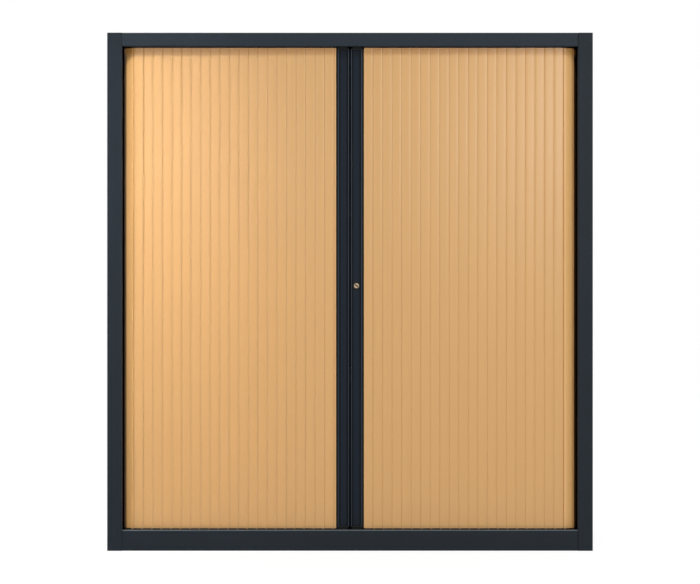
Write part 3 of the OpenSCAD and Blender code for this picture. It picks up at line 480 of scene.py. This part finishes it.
def grown(name, points, tree, sizes):
    """The tree's result on a line through the points, as a plain mesh object."""
    line = bpy.data.meshes.new(name)
    line.from_pydata(points, [(i, i + 1) for i in range(len(points) - 1)], [])
    obj = shown(name, line)
    modifier = obj.modifiers.new("grow", "NODES")
    modifier.node_group = tree
    for item in tree.interface.items_tree:
        if item.in_out == "INPUT" and item.name in sizes:
            modifier[item.identifier] = sizes[item.name]
    return settled(obj)


SOFT_UP_TO = math.radians(35)


def joined(obj, others, finish):
    """One mesh, in one finish and softly shaded, for pieces that move together."""
    shape = bmesh.new()
    for part in [obj, *others]:
        shape.from_mesh(part.data)
    for face in shape.faces:
        face.material_index = 0
    shape.to_mesh(obj.data)
    shape.free()
    obj.data.materials.clear()
    obj.data.materials.append(finish)
    obj.data.shade_smooth()
    obj.data.set_sharp_from_angle(angle=SOFT_UP_TO)
    for part in others:
        bpy.data.objects.remove(part)


def hinge_at(s):
    """The right curtain's hinge line, by length from the cabinet's middle."""
    turn = (s - TURN_X) / TURN_RADIUS
    if turn < 0:
        return Vector((s, HINGE_Y, 0))
    if turn < math.pi / 2:
        return Vector((TURN_X + TURN_RADIUS * math.sin(turn), TURN_Y - TURN_RADIUS * math.cos(turn), 0))
    return Vector((SIDE_X, TURN_Y + s - TURN_X - TURN_RADIUS * math.pi / 2, 0))


# A slat spans more of the line where it bends. How much is found by halving what is between these shares of a pitch.
LEAST_SPAN, MOST_SPAN = 0.9, 1.3
HALVINGS = 40


def hinges(start):
    """Hinge after hinge, each one slat further, measured straight."""
    end = TURN_X + TURN_RADIUS * math.pi / 2 + TAIL
    line = [start]
    while line[-1] <= end:
        low, high = line[-1] + LEAST_SPAN * SLAT_PITCH, line[-1] + MOST_SPAN * SLAT_PITCH
        for _ in range(HALVINGS):
            middle = (low + high) / 2
            if (hinge_at(middle) - hinge_at(line[-1])).length < SLAT_PITCH:
                low = middle
            else:
                high = middle
        line.append(low)
    return line


SLATS = slat_tree()
SLAT_SIZES = {
    "Thickness": SLAT_THICKNESS, "Edge width": EDGE_WIDTH, "Edge drop": EDGE_DROP,
    "Bottom": strip_low.z, "Top": strip_high.z, "Cap height": SLAT_CAP, "Cap joint": CAP_JOINT,
    "Pin radius": PIN_DIAMETER / 2, "Pin bottom": pins_low.z, "Pin top": pins_high.z,
    "Finish": FINISHES["beech_pvc"],
}


def curtain(side, seed):
    """The front run, between its bar and the turn, rides with its door. The slats in the turn and behind it stay in
    their place.
    """
    sign = SIGN[side]

    def run(name, hinge_line, sizes):
        points = [(sign * p.x, p.y, 0) for p in hinge_line]
        return grown(name, points[::sign], SLATS, sizes)

    stations = hinges(bar_high.x + STRIPS[side])
    straight = sum(s < TURN_X + SLAT_PITCH / 2 for s in stations)
    line = [hinge_at(s) for s in stations]
    slats = SLAT_SIZES | {
        "Width": SLAT_PITCH - JOINTS[side], "Pin offset": sign * (PIN_INSET - SLAT_PITCH / 2), "Seed": seed,
    }
    front = run(side + "_curtain", line[:straight], slats)
    strip = run("strip", [hinge_at(bar_high.x), line[0]], slats | {
        "Width": STRIPS[side] - STRIP_JOINT, "Edge width": min(EDGE_WIDTH, STRIPS[side] / 4), "Plain strip": True,
    })
    joined(front, [strip], FINISHES["beech_pvc"])
    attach(front, side + "_door")
    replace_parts(front, side + "_slats", side + "_slat_caps")
    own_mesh(front)
    turned = run(side + "_curtain_turn", line[straight - 1:], slats | {"Seed": seed + 1})
    # The first web starts at its hinge, to keep clear of the front run, which moves with its door
    webs = []
    for before, at, after in zip(line[straight - 2:], line[straight - 1:], line[straight:]):
        half = (after - before).normalized() * WEB_REACH
        start = at - half if webs else at
        wide = (at + half - start).length
        webs.append(run("web", [start, at + half], slats | {
            "Width": wide, "Thickness": SLAT_THICKNESS - WEB_SETBACK, "Edge width": wide / 4, "Plain strip": True,
        }))
    joined(turned, webs, FINISHES["corner_slats"])
    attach(turned, "carcass")


curtain("left", seed=3)
curtain("right", seed=8)

# Rigid pieces, by how far their real edges are broken
BROKEN_EDGES = {
    0.25 * MM: ["left_side_panel", "right_side_panel", "top_panel", "lower_shelf", "upper_shelf",
                "shelf_uprights", "back_panel", "lock_cam", "lock_keeper"],
    0.3 * MM: ["lower_front_track", "upper_front_track", "lock_plug", "shelf_clips"],
    0.5 * MM: ["left_bar_caps", "right_bar_caps", "lock_housing", "floor_plugs", "back_rivets"],
    1.0 * MM: ["front_left_pad", "front_right_pad", "rear_left_pad", "rear_right_pad"],
}
for width, names in BROKEN_EDGES.items():
    for name in names:
        eased(name, width)
eased("plinth_rail", 0.25 * MM, rim=2 * MM)
eased("left_bar", 0.25 * MM, rim=1.3 * MM)
eased("right_bar", 0.25 * MM, rim=1.3 * MM)


def plinth_end_flanges():
    """Flanges folded back at the plinth's ends, so that no light comes through its joints with the stiles."""
    thickness, depth, inset = 1 * MM, 12 * MM, Vector((0, 1 * MM, 2 * MM))
    shape = bmesh.new()
    for sign in SIGN.values():
        near = Vector((sign * (plinth_high.x - thickness), plinth_low.y, plinth_low.z)) + inset
        far = Vector((sign * plinth_high.x, near.y + depth, plinth_high.z - inset.z))
        for vert in bmesh.ops.create_cube(shape, size=1)["verts"]:
            vert.co = (near + far) / 2 + Vector(a * abs(b) for a, b in zip(vert.co, far - near))
    mesh = bpy.data.meshes.new("plinth_end_flanges")
    shape.to_mesh(mesh)
    shape.free()
    mesh.materials.append(FINISHES["coated_steel"])
    flanges = shown("plinth_end_flanges", mesh)
    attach(flanges, "carcass")


plinth_end_flanges()

# The solids that stay as they are
replaced = {node for obj in scene.objects for node in obj.get("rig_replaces", [])}
for name, obj in frame["nodes"].items():
    if name not in replaced:
        for place in obj.material_slots:
            place.material = FINISHES[slot_of_node(name)]


# Stage, light and camera

FLOOR_HALF = 7.0
FLOOR_GLOW = 1.04
GLOW_SHARE = 0.88


def white_rays(tree):
    """1 for what the camera sees, straight or by a mirror or glass, and 0 for the light that falls on the object."""
    ray = add(tree, "ShaderNodeLightPath").outputs
    mirrored = add(tree, "ShaderNodeMath", {
        0: ray["Is Glossy Ray"], 1: ray["Is Transmission Ray"],
    }, operation="ADD")
    seen = add(tree, "ShaderNodeMath", {
        0: ray["Is Camera Ray"], 1: mirrored.outputs["Value"],
    }, operation="ADD", use_clamp=True)
    return seen.outputs["Value"]


def pale_floor():
    """White paper sweep: the camera sees it near white, and the object's shadow stays on it."""
    material, tree, shader, _ = bare_finish("white_paper", {"Base Color": linear("#F2F2F2"), "Roughness": 0.9})
    glow = add(tree, "ShaderNodeEmission", {"Color": linear("#FFFFFF"), "Strength": FLOOR_GLOW})
    seen = add(tree, "ShaderNodeMath", {0: white_rays(tree), 1: GLOW_SHARE}, operation="MULTIPLY")
    paper = add(tree, "ShaderNodeMixShader", {
        0: seen.outputs["Value"], 1: shader.outputs["BSDF"], 2: glow.outputs["Emission"],
    })
    output = next(n for n in tree.nodes if n.type == "OUTPUT_MATERIAL")
    tree.links.new(paper.outputs["Shader"], output.inputs["Surface"])
    corners = [(-1, -1), (1, -1), (1, 1), (-1, 1)]
    mesh = bpy.data.meshes.new("floor")
    mesh.from_pydata([(x * FLOOR_HALF, y * FLOOR_HALF, 0) for x, y in corners], [], [(0, 1, 2, 3)])
    mesh.materials.append(material)
    shown("floor", mesh)


def studio_world(camera_side):
    """A white sweep behind the object, and a dim room on the camera's side. The camera and mirrors see all of it
    white."""
    world = bpy.data.worlds.new("studio")
    world.use_nodes = True
    scene.world = world
    tree = world.node_tree
    tree.nodes.clear()
    way = add(tree, "ShaderNodeTexCoord").outputs["Generated"]
    depth = add(tree, "ShaderNodeSeparateXYZ", {"Vector": way}).outputs["Y"]
    room = add(tree, "ShaderNodeMapRange", {
        "Value": depth, "From Min": -0.5, "From Max": 0.1, "To Min": camera_side, "To Max": 1.0,
    })
    strength = add(tree, "ShaderNodeMath", {0: white_rays(tree), 1: room.outputs["Result"]}, operation="MAXIMUM")
    back = add(tree, "ShaderNodeBackground", {"Color": linear("#FFFFFF"), "Strength": strength.outputs["Value"]})
    add(tree, "ShaderNodeOutputWorld", {"Surface": back.outputs["Background"]})


def softbox(name, place, target, size, watts, beam=180):
    """A soft light. A honeycomb over it narrows its beam, in degrees."""
    light = bpy.data.lights.new(name, "AREA")
    light.spread = math.radians(beam)
    light.shape = "RECTANGLE"
    light.size, light.size_y = size
    light.energy = watts
    obj = bpy.data.objects.new(name, light)
    obj.location = place
    obj.rotation_euler = (Vector(target) - Vector(place)).to_track_quat("-Z", "Y").to_euler()
    obj.visible_camera = False
    scene.collection.objects.link(obj)


pale_floor()
studio_world(camera_side=0.17)
middle = (0, carcass_front, 0.64)
softbox("overhead", (0, -10.9, 14.4), (0, carcass_front, 0.6), size=(3.0, 3.0), watts=1170)
softbox("left above", (-0.8, -1.5, 3.1), (-0.58, carcass_front, 0.88), size=(0.3, 0.3), watts=1.05, beam=22)
softbox("left front", (-0.86, -4.2, 1.35), middle, size=(0.25, 0.9), watts=7.5)
softbox("right front", (1.05, -4.2, 1.35), middle, size=(0.25, 0.9), watts=9.5)
softbox("right", (1.25, -1.9, 1.35), (0.45, carcass_front, 1.0), size=(1.1, 0.5), watts=4.5)

# The photograph's frame spans this width at the cabinet's front, seen straight on
FRAME_WIDTH = 1.7288
FRAME_MIDDLE_Z = 0.6394
CAMERA_DISTANCE = 5.0
camera = bpy.data.cameras.new("camera")
camera.sensor_width = 36.0
camera.lens = camera.sensor_width * CAMERA_DISTANCE / FRAME_WIDTH
viewer = bpy.data.objects.new("camera", camera)
viewer.location = (0, carcass_front - CAMERA_DISTANCE, FRAME_MIDDLE_Z)
viewer.rotation_euler = (math.pi / 2, 0, 0)
scene.collection.objects.link(viewer)
scene.camera = viewer
scene.view_settings.view_transform = "Standard"
